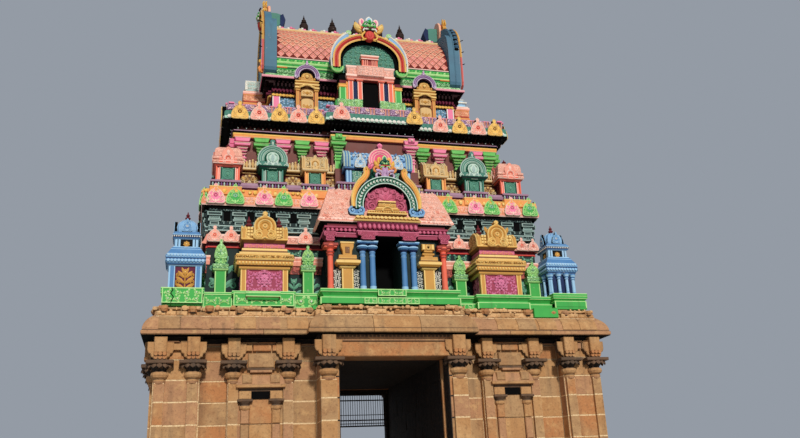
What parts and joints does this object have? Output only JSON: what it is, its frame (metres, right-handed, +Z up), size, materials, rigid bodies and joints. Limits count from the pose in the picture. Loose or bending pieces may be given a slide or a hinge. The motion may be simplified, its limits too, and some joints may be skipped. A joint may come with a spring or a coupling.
{
  "type": "temple gate tower",
  "caption": "Small painted South Indian temple gate tower: stone base with a passage, two stucco storeys of miniature shrines and a barrel roof with horseshoe gables.",
  "frame": {"origin": "middle of the footprint on the ground", "axes": "+X along the front to the right as seen from outside, +Y through the passage to the back, +Z up"},
  "size_m": [12.42, 7.96, 17.28],
  "materials": {
    "stone": "dressed granite and sandstone blocks with pale mortar joints, rough and weathered",
    "iron": "dark painted iron bars",
    "green_stucco": "bright green painted lime stucco with mint relief scrolls",
    "teal_stucco": "teal green and slate painted lime stucco",
    "blue_stucco": "blue painted lime stucco with pale blue edges",
    "gold_stucco": "ochre gold painted lime stucco",
    "magenta_stucco": "magenta painted lime stucco",
    "salmon_stucco": "salmon painted lime stucco",
    "brown_stucco": "brown red painted lime stucco",
    "purple_stucco": "purple painted lime stucco",
    "lilac_stucco": "lilac painted lime stucco",
    "pink_stucco": "pink painted lime stucco",
    "coral_stucco": "coral painted lime stucco",
    "roof_stucco": "salmon painted stucco tiles with dark red joints",
    "gable_stucco": "teal blue painted lime stucco",
    "finial_metal": "copper alloy kalasams, tarnished nearly black"
  },
  "bodies": {
    "root": {"plinth_right": "stone", "plinth_left": "stone", "base_wall_right": "stone", "base_wall_left": "stone", "passage_floor": "stone", "lintel_front": "stone", "lintel_back": "stone", "passage_ceiling": "stone", "rear_portal": "stone", "transom_grille": "iron", "stone_cornice": "stone", "stone_frieze": "stone", "painted_plinth": "green_stucco", "storey1_wall": "teal_stucco", "corner_shrine_front_right": "blue_stucco", "corner_shrine_front_left": "blue_stucco", "corner_shrine_back_right": "blue_stucco", "corner_shrine_back_left": "blue_stucco", "gold_shrine_front_right": "gold_stucco", "gold_shrine_front_left": "gold_stucco", "gold_shrine_back_right": "gold_stucco", "gold_shrine_back_left": "gold_stucco", "gold_shrine_side_right": "gold_stucco", "gold_shrine_side_left": "gold_stucco", "porch_front": "magenta_stucco", "porch_back": "magenta_stucco", "porch_roof_front": "salmon_stucco", "porch_roof_back": "salmon_stucco", "cornice1": "salmon_stucco", "storey2_wall": "brown_stucco", "parapet_front": "purple_stucco", "parapet_back": "purple_stucco", "parapet_right": "purple_stucco", "parapet_left": "purple_stucco", "cornice2": "lilac_stucco", "top_wall": "blue_stucco", "eave": "pink_stucco", "barrel_roof": "roof_stucco", "gable_right": "gable_stucco", "gable_left": "gable_stucco", "ridge_finials": "finial_metal", "top_shrine_front": "coral_stucco", "top_shrine_back": "coral_stucco", "side_shrine_right": "coral_stucco", "side_shrine_left": "coral_stucco"}
  },
  "joints": []
}
